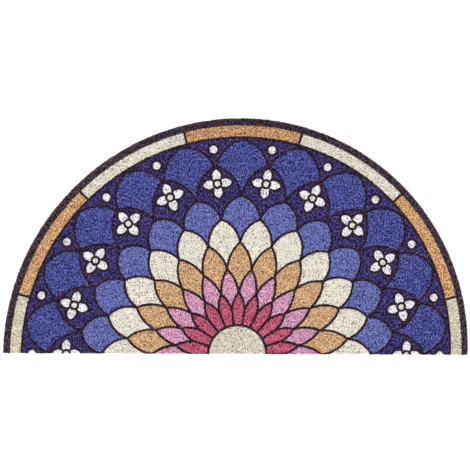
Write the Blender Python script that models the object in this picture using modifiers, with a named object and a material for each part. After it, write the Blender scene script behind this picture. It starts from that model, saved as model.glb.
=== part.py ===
"""Half-round doormat of PVC coil: one flat slab, cut from the sheet in a single piece.

The mat lies on the XY plane. Its straight edge runs along X on the -Y side and its round side
points to +Y. The origin is on the underside, below the middle of the mat's box.
"""

import math

import bpy

# Driving dimensions, in metres.
WIDTH = 0.900
DEPTH = 0.458
THICKNESS = 0.012
RIM_ROUNDING = 0.0015

# How finely the round stretches are divided.
ARC_SEGMENTS = 96
RIM_SEGMENTS = 2
RIM_ANGLE = math.radians(50)
WELD_DISTANCE = 0.00001

# The coil's finish: the mean colour of the printed top.
COIL_COLOUR = (0.27, 0.21, 0.24, 1.0)
COIL_ROUGHNESS = 0.55
COIL_METALLIC = 0.0


def clear_scene():
    """Removes every object that the file holds."""
    for thing in list(bpy.data.objects):
        bpy.data.objects.remove(thing, do_unlink=True)


def new_collection(name):
    """Makes a collection of the scene."""
    group = bpy.data.collections.new(name)
    bpy.context.scene.collection.children.link(group)
    return group


def coil_material():
    """The coil's own material."""
    material = bpy.data.materials.new("coil")
    material.use_nodes = True
    shader = material.node_tree.nodes["Principled BSDF"]
    shader.inputs["Base Color"].default_value = COIL_COLOUR
    shader.inputs["Roughness"].default_value = COIL_ROUGHNESS
    shader.inputs["Metallic"].default_value = COIL_METALLIC
    return material


def half_round_points():
    """The cut outline: half an ellipse, from the right-hand corner over the top to the left."""
    straight_edge = -DEPTH / 2
    points = []
    for step in range(ARC_SEGMENTS + 1):
        turn = math.pi * step / ARC_SEGMENTS
        points.append((WIDTH / 2 * math.cos(turn), straight_edge + DEPTH * math.sin(turn)))
    return points


def slab_curve(name, outline):
    """A flat filled outline, as thick as the mat."""
    data = bpy.data.curves.new(name, "CURVE")
    data.dimensions = "2D"
    data.fill_mode = "BOTH"
    data.extrude = THICKNESS / 2
    spline = data.splines.new("POLY")
    spline.points.add(len(outline) - 1)
    for point, (x, y) in zip(spline.points, outline, strict=True):
        point.co = (x, y, 0.0, 1.0)
    spline.use_cyclic_u = True
    return bpy.data.objects.new(name, data)


def soften_rim(slab):
    """Rounds the cut edges a little, after the caps have been welded to the wall."""
    weld = slab.modifiers.new("weld_caps", "WELD")
    weld.merge_threshold = WELD_DISTANCE
    rim = slab.modifiers.new("soft_rim", "BEVEL")
    rim.limit_method = "ANGLE"
    rim.angle_limit = RIM_ANGLE
    rim.width = RIM_ROUNDING
    rim.segments = RIM_SEGMENTS


def build_mat(group):
    """The whole mat, with its underside on the floor."""
    mat = slab_curve("mat", half_round_points())
    mat.location.z = THICKNESS / 2
    mat.data.materials.append(coil_material())
    soften_rim(mat)
    group.objects.link(mat)
    return mat


def main():
    """Builds the doormat in its own collection."""
    clear_scene()
    build_mat(new_collection("half_round_doormat"))


main()
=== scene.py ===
import math

import bpy
import numpy as np
from mathutils import Matrix, Vector


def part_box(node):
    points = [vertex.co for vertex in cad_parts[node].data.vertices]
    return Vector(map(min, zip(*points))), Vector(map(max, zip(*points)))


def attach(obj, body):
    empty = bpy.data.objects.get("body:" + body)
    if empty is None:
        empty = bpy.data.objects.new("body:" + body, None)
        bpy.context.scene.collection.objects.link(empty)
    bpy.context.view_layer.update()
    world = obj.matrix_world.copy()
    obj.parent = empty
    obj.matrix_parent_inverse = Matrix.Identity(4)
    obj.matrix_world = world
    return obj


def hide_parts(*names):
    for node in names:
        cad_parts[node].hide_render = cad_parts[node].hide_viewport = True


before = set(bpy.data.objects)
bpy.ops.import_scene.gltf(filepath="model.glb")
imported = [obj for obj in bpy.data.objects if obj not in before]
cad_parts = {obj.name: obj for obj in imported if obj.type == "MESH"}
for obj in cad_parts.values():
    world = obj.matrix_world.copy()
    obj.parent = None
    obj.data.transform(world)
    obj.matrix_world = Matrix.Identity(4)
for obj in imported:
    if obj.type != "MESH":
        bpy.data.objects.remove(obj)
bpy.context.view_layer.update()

LOW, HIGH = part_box("mat")
WIDTH, DEPTH, TOP = HIGH.x - LOW.x, HIGH.y - LOW.y, HIGH.z
STRAIGHT_EDGE = LOW.y

# The coil: a thin plastic filament, laid down in overlapping loops. Sizes are in metres, and
# STRAND is the filament's radius.
SEED = 11
STRAND = 0.0008
STRAND_CORNERS = (90, 210, 330)
LOOP_RADIUS = 0.0040
STEPS_PER_TURN = 10
ADVANCE = 0.0047
ROW_PITCH = 0.0047
FIRST_ROW = 0.4
SINK = 0.0026
SINK_CURVE = 1.3
BANDS = 5
FEWEST_LINKS = 4
SHORTEST_CUT = 0.05

# How unevenly the filament was laid: how far each thing drifts, and in how many turns.
PHASE_DRIFT, PHASE_TURNS = 0.8, 0.7
LOOP_VARIETY, LOOP_TURNS = 0.35, 0.8
STRAY, STRAY_TURNS = 0.5, 1.3
ROW_WANDER, WANDER_TURNS = 0.0026, 0.9
SLANT, SLANT_TURNS = 0.6, 1.2
LEAN, LEAN_TURNS = 3.0, 1.0
TINT_TURNS = 0.35

# The cut edge: filaments that run round the outline, with their loops standing up.
EDGE_INSET = 0.0008
EDGE_HEIGHTS = (0.0043, 0.0060, 0.0077)
EDGE_ADVANCE = 0.0043
EDGE_RADIUS, EDGE_VARIETY = 0.0029, 0.25
EDGE_DEPTH, EDGE_DEPTH_TURNS = 0.0008, 0.5
OUTLINE_STEPS = 2000

# The dense core below the loops. The lowest loops, half a STRAND below their centre line, sink
# into it by LOOP_SEAT.
CORE_INSET = 0.0032
LOOP_SEAT = 0.0001
CORE_TOP = TOP - STRAND - SINK - STRAND / 2 + LOOP_SEAT
CORE_RINGS = 24
CORE_STEPS = 96

# Flat maps for textures: the space between rows of one map, how far height leans a point, and
# the strip of the core's map that its wall takes.
MAP_GAP = 0.004
MAP_LEAN = 0.15
WALL_STRIP = (0.985, 0.999)

# The print's layout. Radii are shares of the mat's own radius, and so are the width of its dark
# lines, LEAD, and the width over which one ink gives way to the next, SOFT.
SECTORS = 11
HALF_SECTOR = math.pi / SECTORS / 2
LEAD = 0.0104
SOFT = 0.0016
RIM = 0.976
BORDER = 0.921
HUB = 0.125
# The angle of one block of the border. Counted in blocks from the top of the mat, the middle
# block ends at TOP_BLOCK_TO and the half blocks begin at HALF_BLOCKS_FROM. The rim is darker up
# to DARK_RIM_TO, in the middle of a step DARK_RIM_FADE wide.
BORDER_BLOCK = math.pi / 6
TOP_BLOCK_TO, HALF_BLOCKS_FROM = 0.5, 2.5
DARK_RIM_TO, DARK_RIM_FADE = 0.8, 0.6
# Each row of scales, from the border in: its tips, the valleys between them and its colour. Each
# row is shifted by half a sector from the one before.
SCALE_ROWS = (
    (0.912, 0.785, "royal"),
    (0.810, 0.670, "navy"),
    (0.675, 0.575, "cornflower"),
    (0.580, 0.475, "cream"),
    (0.478, 0.365, "tan"),
    (0.366, 0.262, "pink"),
    (0.265, 0.190, "raspberry"),
)
BEAD_AT, BEAD_RADIUS = 0.878, 0.021
FLOWER_AT = 0.732
FLOWER_REACH = 0.034
FLOWER_LENGTH, FLOWER_WIDTH = 0.032, 0.0225
FLOWER_EYE = 0.0165

# The grain: flecks and pinholes. The flecks, light and dark, are partly uneven ink and partly
# painted highlights on the strands and painted shade between them. The pinholes are painted shade
# in the holes between the filaments. Their sizes are in metres, and their depth is in light as
# the eye sees it: raised to 1 / SEEN_GAMMA, and never below DARKEST_SEEN. They are GRAIN_NARROW
# times narrower across the mat. Their sizes differ, or they would fall in the same places.
# Inks paler than PALE_LIMIT have no flecks, inks in between have up to MOST_FLECKS of them, and
# inks darker than DARK_LIMIT have more. A fleck adds FLECK_TOP at most, and a strand's own shade
# adds TINT_SEEN. The pinholes' painted shade is deepest in pale inks.
SEEN_GAMMA, DARKEST_SEEN = 2.2, 0.04
PALE_LIMIT, PALE_SLOPE, MOST_FLECKS = 0.74, 2.7, 0.92
DARK_LIMIT, DARK_SLOPE = 0.13, 4.5
GRAIN_NARROW, GRAIN_DETAIL = 2.0, 0.5
FLECK_SIZE, FLECK_DEPTH, FLECK_TOP = 0.0038, 1.32, 0.13
PINHOLE_SIZE, PINHOLE_DEPTH, PINHOLE_LEAST = 0.0044, 0.40, 0.2
PINHOLE_FROM, PINHOLE_FULL = 0.64, 0.69
TINT_SEEN = 0.03

# How far the ink ran along a filament, and between what heights it thins out to the bare plastic.
RUN_SIZE, RUN_REACH = 0.0035, 0.0022
BARE_BELOW, INKED_ABOVE = 0.0025, 0.0065

# The plastic: light lost between the loops, each strand's own shade, and its finish.
SHADE_DEPTH, SHADE_LOSS = 0.0045, 0.2
TINT_LIGHT = 0.08
SPECULAR = 0.12
ROUGH_SIZE, ROUGH_LEAST, ROUGH_SPREAD = 0.004, 0.38, 0.3

# The imported coil's filaments: their sizes and sharpness, the painted shade down among them
# (how light the gaps are and how much lighter the filaments), and the bump between them.
TANGLE_SIZES, TANGLE_SHARPNESS = (0.0042, 0.0057), 14.0
PAINTED_GAP_LIGHT, PAINTED_STRAND_LIGHT = 0.45, 0.40
PACKED_TINT_SIZE, PACKED_BUMP = 0.0030, 0.0008

# Ink colours and the bare plastic's, as linear light.
INKS = {
    "rim": (0.0400, 0.0180, 0.0322),
    "top_rim": (0.0245, 0.0085, 0.0195),
    "lead": (0.014, 0.001, 0.007),
    "cream": (0.775, 0.735, 0.645),
    "hub_cream": (0.697, 0.642, 0.540),
    "border_cream": (0.728, 0.685, 0.595),
    "end_cream": (0.674, 0.623, 0.514),
    "tan": (0.626, 0.404, 0.223),
    "border_tan": (0.622, 0.373, 0.185),
    "top_tan": (0.545, 0.320, 0.167),
    "cornflower": (0.141, 0.159, 0.42),
    "royal": (0.065, 0.076, 0.298),
    "navy": (0.0315, 0.0203, 0.138),
    "pink": (0.637, 0.34, 0.487),
    "raspberry": (0.5, 0.103, 0.189),
    "white": (0.823, 0.793, 0.828),
    "body": (0.11, 0.095, 0.10),
}


# Numbers that vary over a surface, written as sums of shader nodes


class Field:
    """A number at every point of a surface, held as a socket in a material's nodes."""

    def __init__(self, tree, socket):
        self.tree = tree
        self.socket = socket

    def math(self, operation, *others):
        node = self.tree.nodes.new("ShaderNodeMath")
        node.operation = operation
        for slot, value in zip(node.inputs, (self, *others)):
            if isinstance(value, Field):
                self.tree.links.new(value.socket, slot)
            else:
                slot.default_value = value
        return Field(self.tree, node.outputs[0])

    def __add__(self, other):
        return self.math("ADD", other)

    def __sub__(self, other):
        return self.math("SUBTRACT", other)

    def __mul__(self, other):
        return self.math("MULTIPLY", other)

    def __truediv__(self, other):
        return self.math("DIVIDE", other)

    def size(self):
        return self.math("ABSOLUTE")

    def hypot(self, other):
        return (self * self + other * other).math("SQRT")

    def within(self, low, high):
        """0 up to low, 1 from high on, and evenly between."""
        return ((self - low) / (high - low)).math("MAXIMUM", 0.0).math("MINIMUM", 1.0)

    def below(self, edge, softness):
        """1 where the number is below edge and 0 above, with a soft step between."""
        return (self * -1.0 + edge).within(-softness / 2, softness / 2)


class Print:
    """Paints flat shapes over one another, each with a dark outline."""

    def __init__(self, tree, x, y, ground):
        self.tree = tree
        across = x / (WIDTH / 2)
        along = (y - STRAIGHT_EDGE) / DEPTH
        self.radius = across.hypot(along)
        self.angle = along.math("ARCTAN2", across)
        self.colour = self.ink(ground)

    def ink(self, name):
        node = self.tree.nodes.new("ShaderNodeRGB")
        node.outputs[0].default_value = (*INKS[name], 1.0)
        return node.outputs[0]

    def fill(self, distance, name, within=None):
        """Colours the inside of a shape, where distance is below 0."""
        mask = distance.below(0.0, SOFT)
        if within:
            mask = mask * within
        self.colour = mix(mask, self.colour, self.ink(name))

    def leaded(self, distance, name):
        """A shape with a dark line along its outline."""
        self.fill(distance - LEAD / 2, "lead")
        self.fill(distance + LEAD / 2, name)

    def sector(self, shifted):
        """Across and along the middle line of each sector, folded onto that line."""
        turn = self.angle / (2 * HALF_SECTOR) + (0.5 if shifted else 0.0)
        from_middle = (turn.math("FRACT") - 0.5) * (2 * HALF_SECTOR)
        across = (self.radius * from_middle.math("SINE")).size()
        along = self.radius * from_middle.math("COSINE")
        return across, along


def mix(mask, below, above):
    """The colour below where mask is 0, and the one above where it is 1."""
    node = mask.tree.nodes.new("ShaderNodeMix")
    node.data_type = "RGBA"
    factor, first, second = node.inputs[0], node.inputs[6], node.inputs[7]
    mask.tree.links.new(mask.socket, factor)
    mask.tree.links.new(below, first)
    mask.tree.links.new(above, second)
    return node.outputs[2]


def lens(across, along, middle, length, width):
    """Signed distance to a pointed oval whose long half is length and short half is width."""
    reach = (length * length + width * width) / (2 * width)
    return (across + (reach - width)).hypot(along - middle) - reach


def scale(across, along, tip, valley):
    """Signed distance to a scale that springs from the valleys beside it to its tip."""
    side_at, spring = valley * math.sin(HALF_SECTOR), valley * math.cos(HALF_SECTOR)
    rise = tip - spring
    offset = (rise * rise - side_at * side_at) / (2 * side_at)
    reach = math.hypot(offset, rise)
    arch = (across + offset).hypot(along.math("MAXIMUM", spring) - spring) - reach
    side = across * math.cos(HALF_SECTOR) - along * math.sin(HALF_SECTOR)
    return arch.math("MAXIMUM", side)


def paint_border(art):
    """Blocks of cream and tan inside the dark rim, with half a block at either end.

    The rim and the tan block are a little darker at the top, and so are the half blocks.
    """
    blocks_from_top = (art.angle - math.pi / 2).size() / BORDER_BLOCK
    near_top = blocks_from_top.below(DARK_RIM_TO, DARK_RIM_FADE)
    art.colour = mix(near_top, art.colour, art.ink("top_rim"))
    art.fill(art.radius - (RIM - LEAD / 2), "border_cream")
    turn = art.angle / BORDER_BLOCK + 0.5
    odd = (turn / 2).math("FRACT") - 0.5
    inside = art.radius.below(RIM - LEAD / 2, SOFT)
    art.fill(odd * -1.0, "border_tan", within=inside)
    art.fill(blocks_from_top - TOP_BLOCK_TO, "top_tan", within=inside)
    art.fill(blocks_from_top * -1.0 + HALF_BLOCKS_FROM, "end_cream", within=inside)
    nearest = (turn.math("FRACT") - 0.5).size()
    block_line = (nearest * -1.0 + 0.5) * art.radius * BORDER_BLOCK
    art.fill(block_line - LEAD / 2, "lead", within=art.radius.below(RIM, SOFT))


def paint_flowers(art, across, along):
    """A white four-petalled flower in each sector."""
    up = along - FLOWER_AT
    upper = lens(across, up.size(), FLOWER_REACH, FLOWER_LENGTH, FLOWER_WIDTH)
    sideways = lens(up.size(), across, FLOWER_REACH, FLOWER_LENGTH, FLOWER_WIDTH)
    art.leaded(upper.math("MINIMUM", sideways), "white")
    art.leaded(across.hypot(up) - FLOWER_EYE, "cream")


def paint_rosette(art):
    """Beads under the border, then rows of scales down to the hub."""
    art.leaded(art.radius - BORDER, "navy")
    middle, between = art.sector(False), art.sector(True)
    across, along = between
    art.leaded(across.hypot(along - BEAD_AT) - BEAD_RADIUS, "white")
    for row, (tip, valley, name) in enumerate(SCALE_ROWS):
        place = between if row % 2 else middle
        art.leaded(scale(*place, tip, valley), name)
        if name == "navy":
            paint_flowers(art, *place)
    art.leaded(art.radius - HUB, "hub_cream")


def noise(tree, coordinates, size, detail=2.0):
    """Soft random values around 0.5, with features of about size metres."""
    node = tree.nodes.new("ShaderNodeTexNoise")
    node.inputs["Scale"].default_value = 1.0 / size
    node.inputs["Detail"].default_value = detail
    tree.links.new(coordinates, node.inputs["Vector"])
    return node


def noise_field(tree, coordinates, size, detail=2.0):
    return Field(tree, noise(tree, coordinates, size, detail).outputs["Fac"])


def ragged(tree, coordinates, x, y):
    """The place on the print, shifted a little where the ink ran along a filament."""
    shift = tree.nodes.new("ShaderNodeSeparateXYZ")
    tree.links.new(noise(tree, coordinates, RUN_SIZE).outputs["Color"], shift.inputs[0])
    shift_x, shift_y = ((Field(tree, shift.outputs[i]) - 0.5) * RUN_REACH for i in range(2))
    return x + shift_x, y + shift_y


def vector_math(tree, operation, vector, value):
    """The vector, changed by a field or by a fixed vector."""
    node = tree.nodes.new("ShaderNodeVectorMath")
    node.operation = operation
    tree.links.new(vector, node.inputs[0])
    slot = node.inputs["Scale"] if operation == "SCALE" else node.inputs[1]
    if isinstance(value, Field):
        tree.links.new(value.socket, slot)
    else:
        slot.default_value = value
    return node.outputs[0]


def gamma(tree, colour, power):
    node = tree.nodes.new("ShaderNodeGamma")
    tree.links.new(colour, node.inputs["Color"])
    node.inputs["Gamma"].default_value = power
    return node.outputs[0]


def grainy(tree, coordinates, colour, tint):
    """The colour with flecks of uneven ink and painted highlights and shade, which pale inks lack,
    and with dark pinholes of painted shade, deepest in pale inks.
    """
    brightness = tree.nodes.new("ShaderNodeRGBToBW")
    tree.links.new(colour, brightness.inputs[0])
    paleness = Field(tree, brightness.outputs[0])
    darkness = paleness * -1.0
    fleck_strength = ((darkness + PALE_LIMIT) * PALE_SLOPE).within(0.0, 1.0) * MOST_FLECKS
    fleck_strength = fleck_strength + ((darkness + DARK_LIMIT) * DARK_SLOPE).within(0.0, 1.0)

    narrowed = vector_math(tree, "MULTIPLY", coordinates, (GRAIN_NARROW, 1.0, 1.0))
    # Light and dark flecks: partly uneven ink, partly painted highlights on the strands and painted
    # shade between them.
    flecks = (noise_field(tree, narrowed, FLECK_SIZE, GRAIN_DETAIL) - 0.5) * FLECK_DEPTH
    flecks = flecks.math("MINIMUM", FLECK_TOP)
    # Pinholes: painted shade in the holes between the filaments.
    pinholes = noise_field(tree, narrowed, PINHOLE_SIZE, GRAIN_DETAIL)
    pinholes = pinholes.within(PINHOLE_FROM, PINHOLE_FULL) * PINHOLE_DEPTH
    amount = (flecks + tint * TINT_SEEN) * fleck_strength - pinholes * (paleness + PINHOLE_LEAST)

    seen = gamma(tree, colour, 1 / SEEN_GAMMA)
    grained = vector_math(tree, "ADD", seen, amount)
    grained = vector_math(tree, "MAXIMUM", grained, (DARKEST_SEEN,) * 3)
    return gamma(tree, grained, SEEN_GAMMA)


def tangle(tree, coordinates):
    """1 along the middle of packed filaments, and 0 in the gaps between them."""
    layers = []
    for size in TANGLE_SIZES:
        drift = noise_field(tree, coordinates, size, 0.0) - 0.5
        layers.append((drift.size() * -TANGLE_SHARPNESS + 1.0).within(0.0, 1.0))
    return layers[0].math("MAXIMUM", layers[1])


def printed_coil(name, packed):
    """The printed plastic: ink on top, its own grey-brown body lower down.

    A packed one has its filaments as a pattern, with painted shade in the gaps, and a bump,
    and an open one has them as meshes.
    """
    material = bpy.data.materials.new(name)
    material.use_nodes = True
    tree = material.node_tree
    shader = tree.nodes["Principled BSDF"]
    coordinates = tree.nodes.new("ShaderNodeTexCoord").outputs["Object"]
    parts = tree.nodes.new("ShaderNodeSeparateXYZ")
    tree.links.new(coordinates, parts.inputs[0])
    x, y, z = (Field(tree, parts.outputs[i]) for i in range(3))
    art = Print(tree, *ragged(tree, coordinates, x, y), "rim")
    paint_border(art)
    paint_rosette(art)

    light = z.within(TOP - SHADE_DEPTH, TOP) * SHADE_LOSS + (1 - SHADE_LOSS)
    if packed:
        tint = noise_field(tree, coordinates, PACKED_TINT_SIZE) - 0.5
        filaments = tangle(tree, coordinates)
        # Painted shade down among the packed filaments: darkest in the gaps, lighter on the
        # filaments, all darker than the open coil above.
        light = light * (filaments * PAINTED_STRAND_LIGHT + PAINTED_GAP_LIGHT)
        bump = tree.nodes.new("ShaderNodeBump")
        bump.inputs["Distance"].default_value = PACKED_BUMP
        tree.links.new(filaments.socket, bump.inputs["Height"])
        tree.links.new(bump.outputs[0], shader.inputs["Normal"])
    else:
        node = tree.nodes.new("ShaderNodeAttribute")
        node.attribute_name = "tint"
        tint = Field(tree, node.outputs["Fac"])
        light = light * (tint * TINT_LIGHT + 1.0)
    printed = grainy(tree, coordinates, art.colour, tint)
    colour = mix(z.within(BARE_BELOW, INKED_ABOVE), art.ink("body"), printed)
    tree.links.new(vector_math(tree, "SCALE", colour, light), shader.inputs["Base Color"])

    shader.inputs["Specular IOR Level"].default_value = SPECULAR
    rough = noise_field(tree, coordinates, ROUGH_SIZE) * ROUGH_SPREAD + ROUGH_LEAST
    tree.links.new(rough.socket, shader.inputs["Roughness"])
    return material


# The coil's centre lines


def drifting(rng, count, turns):
    """Random values from -1 to 1 along a filament, a new one every so many turns."""
    knot_every = STEPS_PER_TURN * turns
    knots = rng.uniform(-1, 1, int(count / knot_every) + 3)
    return np.interp(np.arange(count) / knot_every, np.arange(len(knots)), knots)


def overshoot(points, inset):
    """Below 0 inside the outline, inset by that much, and above 0 outside it."""
    across = points[:, 0] / (WIDTH / 2 - inset)
    along = (points[:, 1] - STRAIGHT_EDGE) / (DEPTH - inset)
    round_side = (np.hypot(across, along) - 1) * WIDTH / 2
    return np.maximum(round_side, STRAIGHT_EDGE + inset - points[:, 1])


def cut_to_outline(points, inset):
    """Ends each stretch of a filament where it crosses the cut edge.

    Returns the points, and for each whether it is linked to the next one.
    """
    over = overshoot(points, inset)
    inside = over < 0
    linked = inside[:-1] | inside[1:]
    leaving = np.flatnonzero(inside[:-1] & ~inside[1:])
    entering = np.flatnonzero(~inside[:-1] & inside[1:])
    moved = points.copy()
    for near, far in ((leaving, leaving + 1), (entering + 1, entering)):
        share = (over[near] / (over[near] - over[far])).clip(SHORTEST_CUT, 1)[:, None]
        moved[far] = points[near] + share * (points[far] - points[near])
    return moved, without_snippets(np.append(linked, False))


def without_snippets(linked):
    """The links, apart from those of stretches too short to hold on to the coil."""
    joins = np.append(False, linked[:-1])
    starts, ends = np.flatnonzero(linked & ~joins), np.flatnonzero(joins & ~linked)
    kept = linked.copy()
    for start, end in zip(starts, ends):
        if end - start < FEWEST_LINKS:
            kept[start:end] = False
    return kept


def looping(rng, count):
    """The phase of a filament's loops: one turn every few steps, uneven, either way round."""
    turn = np.arange(count) / STEPS_PER_TURN
    phase = 2 * math.pi * (turn + rng.random()) * rng.choice((-1, 1))
    return turn, phase + PHASE_DRIFT * drifting(rng, count, PHASE_TURNS)


def laid_row(rng, y):
    """One filament across the mat, coiled as it was laid: points, links and tint."""
    count = int((WIDTH + 2 * LOOP_RADIUS) / ADVANCE) * STEPS_PER_TURN
    turn, phase = looping(rng, count)
    long, wide = (
        LOOP_RADIUS * (1 + LOOP_VARIETY * drifting(rng, count, LOOP_TURNS))
        for _ in range(2)
    )
    x = -WIDTH / 2 - LOOP_RADIUS + ADVANCE * turn
    x += STRAY * ADVANCE * drifting(rng, count, STRAY_TURNS)
    y = y + ROW_WANDER * drifting(rng, count, WANDER_TURNS)
    slant = SLANT * drifting(rng, count, SLANT_TURNS)
    x += long * np.cos(phase) + slant * wide * np.sin(phase)
    y += wide * np.sin(phase)
    lean = LEAN * drifting(rng, count, LEAN_TURNS)
    dip = 0.5 + 0.5 * np.sin(phase + lean)
    z = TOP - STRAND - SINK * dip ** SINK_CURVE
    points, linked = cut_to_outline(np.column_stack((x, y, z)), STRAND)
    return points, linked, drifting(rng, count, TINT_TURNS)


def outline_walk(inset):
    """The outline, inset: distance walked, place and outward direction at each step."""
    half, deep = WIDTH / 2 - inset, DEPTH - 2 * inset
    bend = np.linspace(0, math.pi, OUTLINE_STEPS)
    arc = np.column_stack((half * np.cos(bend), STRAIGHT_EDGE + inset + deep * np.sin(bend)))
    edge_x = np.linspace(-half, half, OUTLINE_STEPS // 2)[1:]
    edge = np.column_stack((edge_x, np.full(len(edge_x), STRAIGHT_EDGE + inset)))
    places = np.vstack((arc, edge))
    walked = np.append(0, np.cumsum(np.linalg.norm(np.diff(places, axis=0), axis=1)))
    heading = np.gradient(places, axis=0)
    heading /= np.linalg.norm(heading, axis=1)[:, None]
    return walked, places, np.column_stack((heading[:, 1], -heading[:, 0]))


def edge_filament(rng, height):
    """A filament round the cut edge in standing loops: points, links, tint, walk and outward."""
    walked, places, outward = outline_walk(EDGE_INSET)
    count = int(walked[-1] / EDGE_ADVANCE) * STEPS_PER_TURN
    turn, phase = looping(rng, count)
    reach = EDGE_RADIUS * (1 + EDGE_VARIETY * drifting(rng, count, LOOP_TURNS))
    along = (EDGE_ADVANCE * turn + reach * np.cos(phase)) % walked[-1]
    inward = EDGE_DEPTH * (1 + drifting(rng, count, EDGE_DEPTH_TURNS))
    x, y = (np.interp(along, walked, places[:, i]) for i in range(2))
    nx, ny = (np.interp(along, walked, outward[:, i]) for i in range(2))
    z = height + (reach * np.sin(phase)).clip(STRAND - height, TOP - STRAND - height)
    points = np.column_stack((x - inward * nx, y - inward * ny, z))
    step = np.linalg.norm(np.diff(points, axis=0), axis=1)
    linked = (step < 2 * EDGE_RADIUS) & (np.abs(np.diff(along)) < 2 * EDGE_RADIUS)
    linked = without_snippets(np.append(linked, False))
    tint = drifting(rng, count, TINT_TURNS)
    normal = np.column_stack((nx, ny, np.zeros(count)))
    return points, linked, tint, along, normal


# Meshes


def unit(vectors):
    return vectors / np.linalg.norm(vectors, axis=1).clip(1e-12)[:, None]


def strands(points, linked, up):
    """Three-sided tubes along linked points, closed at both ends.

    Returns the vertices, the sides, the end caps and the points used.
    """
    before = np.append(False, linked[:-1])
    used = np.flatnonzero(linked | before)
    ahead = np.where(linked[:, None], np.roll(points, -1, axis=0), points)
    behind = np.where(before[:, None], np.roll(points, 1, axis=0), points)
    tangent = unit(ahead - behind)
    side = unit(np.cross(tangent, up))
    top = np.cross(side, tangent)
    rings = []
    for turn in np.radians(STRAND_CORNERS):
        rings.append(points + STRAND * (math.cos(turn) * side + math.sin(turn) * top))
    vertices = np.stack(rings, axis=1)[used].reshape(-1, 3)
    place = np.zeros(len(points), int)
    place[used] = np.arange(len(used)) * 3
    first = place[np.flatnonzero(linked)]
    second = place[np.flatnonzero(linked) + 1]
    quads = [
        np.column_stack((second + i, second + j, first + j, first + i))
        for i, j in ((0, 1), (1, 2), (2, 0))
    ]
    starts = place[np.flatnonzero(linked & ~before)]
    ends = place[np.flatnonzero(before & ~linked)]
    caps = np.vstack((starts[:, None] + (0, 1, 2), ends[:, None] + (2, 1, 0)))
    return vertices, np.vstack(quads), caps, used


def folded_map(along, up, corners, starts, sizes):
    """A flat map of a long strip of faces, laid as rows under one another on a square."""
    middle = np.add.reduceat(along[corners], starts) / sizes
    length, height = np.ptp(along), np.ptp(up) + MAP_GAP
    rows = max(1, round(math.sqrt(length / height)))
    row = ((middle - along.min()) / length * rows).astype(int).clip(0, rows - 1)
    row = np.repeat(row, sizes)
    side = max(length / rows + 2 * MAP_GAP, height * rows)
    u = along[corners] - along.min() - row * length / rows + MAP_GAP
    v = up[corners] - up.min() + row * height + MAP_GAP / 2
    return np.column_stack((u, v)) / side


def add_map(mesh, uv):
    """Stores the flat map that the textures are made on."""
    layer = mesh.uv_layers.new(name="OFBake")
    layer.data.foreach_set("uv", uv.astype(np.float32).ravel())


def new_piece(name, mesh, material):
    mesh.validate()
    mesh.materials.append(material)
    piece = bpy.data.objects.new(name, mesh)
    bpy.context.scene.collection.objects.link(piece)
    return piece


def coil_mesh(name, tubes, tint, front, flat, material):
    """One mesh of many strands, with the faces that lie in front last, and its flat map."""
    vertices, quads, caps, used = tubes
    quads = quads[np.argsort(front[quads].mean(axis=1), kind="stable")]
    corners = np.concatenate((caps.ravel(), quads.ravel())).astype(np.int32)
    sizes = np.concatenate((np.full(len(caps), 3), np.full(len(quads), 4)))
    starts = np.concatenate(([0], np.cumsum(sizes)[:-1])).astype(np.int32)
    mesh = bpy.data.meshes.new(name)
    mesh.vertices.add(len(vertices))
    mesh.vertices.foreach_set("co", vertices.astype(np.float32).ravel())
    mesh.loops.add(len(corners))
    mesh.loops.foreach_set("vertex_index", corners)
    mesh.polygons.add(len(sizes))
    mesh.polygons.foreach_set("loop_start", starts)
    mesh.update(calc_edges=True)
    mesh.shade_smooth()
    shades = np.repeat(tint[used], 3).astype(np.float32)
    mesh.attributes.new("tint", "FLOAT", "POINT").data.foreach_set("value", shades)
    add_map(mesh, folded_map(*flat, corners, starts, sizes))
    return new_piece(name, mesh, material)


def coil_band(name, rows, material):
    """A band of laid filaments as one piece."""
    points, linked, tint = (np.concatenate(part) for part in zip(*rows))
    tubes = strands(points, linked, np.array((0.0, 0.0, 1.0)))
    x, y, z = tubes[0].T
    return coil_mesh(name, tubes, tint, z, (x, y + MAP_LEAN * z), material)


def cut_edge(rng, material):
    """The filaments that show along the cut edge, as one piece."""
    rows = [edge_filament(rng, height) for height in EDGE_HEIGHTS]
    points, linked, tint, along, outward = (np.concatenate(part) for part in zip(*rows))
    tubes = strands(points, linked, outward)
    used = tubes[3]
    from_centre = tubes[0] - np.repeat(points[used], 3, axis=0)
    normal = np.repeat(outward[used], 3, axis=0)
    heading = np.column_stack((-normal[:, 1], normal[:, 0]))
    walk = np.repeat(along[used], 3) + (from_centre[:, :2] * heading).sum(axis=1)
    front = overshoot(tubes[0], 0)
    flat = (walk, tubes[0][:, 2] + MAP_LEAN * front)
    return coil_mesh("cut_edge_coil", tubes, tint, front, flat, material)


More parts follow.
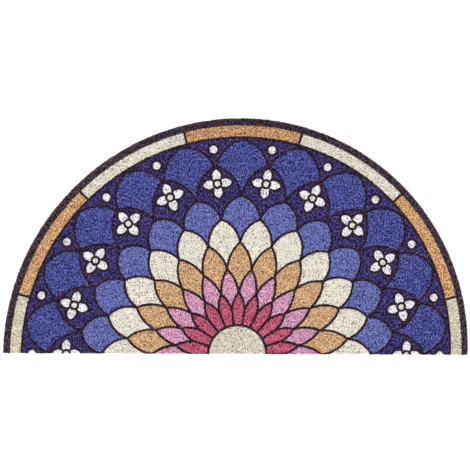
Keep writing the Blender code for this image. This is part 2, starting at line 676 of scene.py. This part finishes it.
def core_slab(material):
    """The dense lower coil, as one closed slab just inside the outline."""
    half, deep = WIDTH / 2 - CORE_INSET, DEPTH - 2 * CORE_INSET
    centre_y = STRAIGHT_EDGE + CORE_INSET
    bend = np.linspace(0, math.pi, CORE_STEPS + 1)
    arc = np.column_stack((half * np.cos(bend), deep * np.sin(bend)))
    rings = [share * arc for share in np.arange(1, CORE_RINGS + 1) / CORE_RINGS]
    flat = np.vstack([np.zeros((1, 2)), *rings]) + (0.0, centre_y)
    count, span = len(flat), CORE_STEPS + 1
    top = np.column_stack((flat, np.full(count, CORE_TOP)))
    bottom = np.column_stack((flat, np.zeros(count)))
    faces = [(0, 1 + step, 2 + step) for step in range(CORE_STEPS)]
    for ring in range(CORE_RINGS - 1):
        for step in range(CORE_STEPS):
            corner = 1 + ring * span + step
            faces.append((corner, corner + span, corner + span + 1, corner + 1))
    under = [tuple(count + corner for corner in reversed(face)) for face in faces]
    round_side = [1 + (CORE_RINGS - 1) * span + step for step in range(span)]
    left = [1 + ring * span + CORE_STEPS for ring in reversed(range(CORE_RINGS - 1))]
    right = [1 + ring * span for ring in range(CORE_RINGS)]
    path = [*round_side, *left, 0, *right]
    wall = [(b, a, count + a, count + b) for a, b in zip(path, path[1:])]
    mesh = bpy.data.meshes.new("coil_core")
    mesh.from_pydata(np.vstack((top, bottom)).tolist(), [], faces + under + wall)
    add_map(mesh, core_map(flat, faces, under, len(wall)))
    return new_piece("coil_core", mesh, material)


def core_map(flat, faces, under, walls):
    """The core's flat map: the top, the underside above it, and the wall in a strip beside."""
    side = 2 * (DEPTH + MAP_GAP)
    count = len(flat)
    place = (flat - (LOW.x, LOW.y)) / side
    top = place[np.concatenate(faces)]
    bottom = place[np.concatenate(under) - count] + (0.0, 0.5)
    step = np.arange(walls)[:, None] / walls
    v = np.hstack((step + 1 / walls, step, step, step + 1 / walls))
    u = np.tile(np.repeat(WALL_STRIP, 2), (walls, 1))
    return np.vstack((top, bottom, np.column_stack((u.ravel(), v.ravel()))))


def build_mat():
    """Bands of laid coil, the cut edge and the core below them."""
    rng = np.random.default_rng(SEED)
    coil = printed_coil("printed_coil", packed=False)
    count = round((DEPTH + LOOP_RADIUS) / ROW_PITCH)
    rows = [laid_row(rng, STRAIGHT_EDGE + (i + FIRST_ROW) * ROW_PITCH) for i in range(count)]
    segments = np.cumsum([row[1].sum() for row in rows])
    band_of = np.minimum(segments * BANDS // segments[-1], BANDS - 1).astype(int)
    coils = []
    for band in range(BANDS):
        chosen = [row for row, at in zip(rows, band_of) if at == band]
        coils.append(coil_band(f"coil_band_{band + 1}", chosen, coil))
    coils.append(cut_edge(rng, coil))
    core = core_slab(printed_coil("core_coil", packed=True))
    for piece in (core, *coils):
        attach(piece, "root")
    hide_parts("mat")


# The floor, just below the mat, and the light.
FLOOR_SIZE, FLOOR_DROP = 40, 0.0002
FLOOR_TONE, FLOOR_ROUGHNESS = 0.78, 0.9
SKY_STRENGTH = 1.02
LAMP_PLACE = (-0.8, 0.9, 6.0)
LAMP_SIZE, LAMP_POWER = 3.0, 390


def build_stage():
    """A plain white floor, soft light from all round and one large lamp."""
    bpy.ops.mesh.primitive_plane_add(size=FLOOR_SIZE, location=(0, 0, -FLOOR_DROP))
    floor = bpy.context.object
    floor.name = "floor"
    material = bpy.data.materials.new("floor")
    material.use_nodes = True
    shader = material.node_tree.nodes["Principled BSDF"]
    shader.inputs["Base Color"].default_value = (FLOOR_TONE, FLOOR_TONE, FLOOR_TONE, 1)
    shader.inputs["Roughness"].default_value = FLOOR_ROUGHNESS
    floor.data.materials.append(material)

    world = bpy.data.worlds.new("studio")
    bpy.context.scene.world = world
    world.use_nodes = True
    sky = world.node_tree.nodes["Background"]
    sky.inputs["Color"].default_value = (1, 1, 1, 1)
    sky.inputs["Strength"].default_value = SKY_STRENGTH

    lamp = bpy.data.lights.new("softbox", "AREA")
    lamp.energy = LAMP_POWER
    lamp.size = LAMP_SIZE
    box = bpy.data.objects.new("softbox", lamp)
    box.location = LAMP_PLACE
    box.rotation_euler = box.location.to_track_quat("Z", "Y").to_euler()
    bpy.context.scene.collection.objects.link(box)
    bpy.context.scene.view_settings.view_transform = "Standard"


# The camera stands nearly above the mat, leaning a little to its far left. Its distance and the
# width of its view are measured at the place it aims at.
CAMERA_TILT = math.radians(12.0)
CAMERA_TOWARDS = math.radians(124.8)
CAMERA_ROLL = math.radians(-1.573)
CAMERA_DISTANCE = 8.0
CAMERA_AIM = Vector((-0.0091, 0.0021, 0.0))
VIEW_WIDTH = 0.9003
SENSOR = 36.0


def build_camera():
    """Looks down on the mat, with its straight edge at the bottom of the picture."""
    data = bpy.data.cameras.new("camera")
    data.sensor_width = SENSOR
    data.lens = SENSOR * CAMERA_DISTANCE / VIEW_WIDTH
    level = math.sin(CAMERA_TILT)
    back = Vector((
        level * math.cos(CAMERA_TOWARDS),
        level * math.sin(CAMERA_TOWARDS),
        math.cos(CAMERA_TILT),
    ))
    far = Vector((math.sin(CAMERA_ROLL), math.cos(CAMERA_ROLL), 0.0))
    up = (far - back * far.dot(back)).normalized()
    camera = bpy.data.objects.new("camera", data)
    camera.location = CAMERA_AIM + back * CAMERA_DISTANCE
    camera.rotation_euler = Matrix((up.cross(back), up, back)).transposed().to_euler()
    bpy.context.scene.collection.objects.link(camera)
    bpy.context.scene.camera = camera


build_mat()
build_stage()
build_camera()
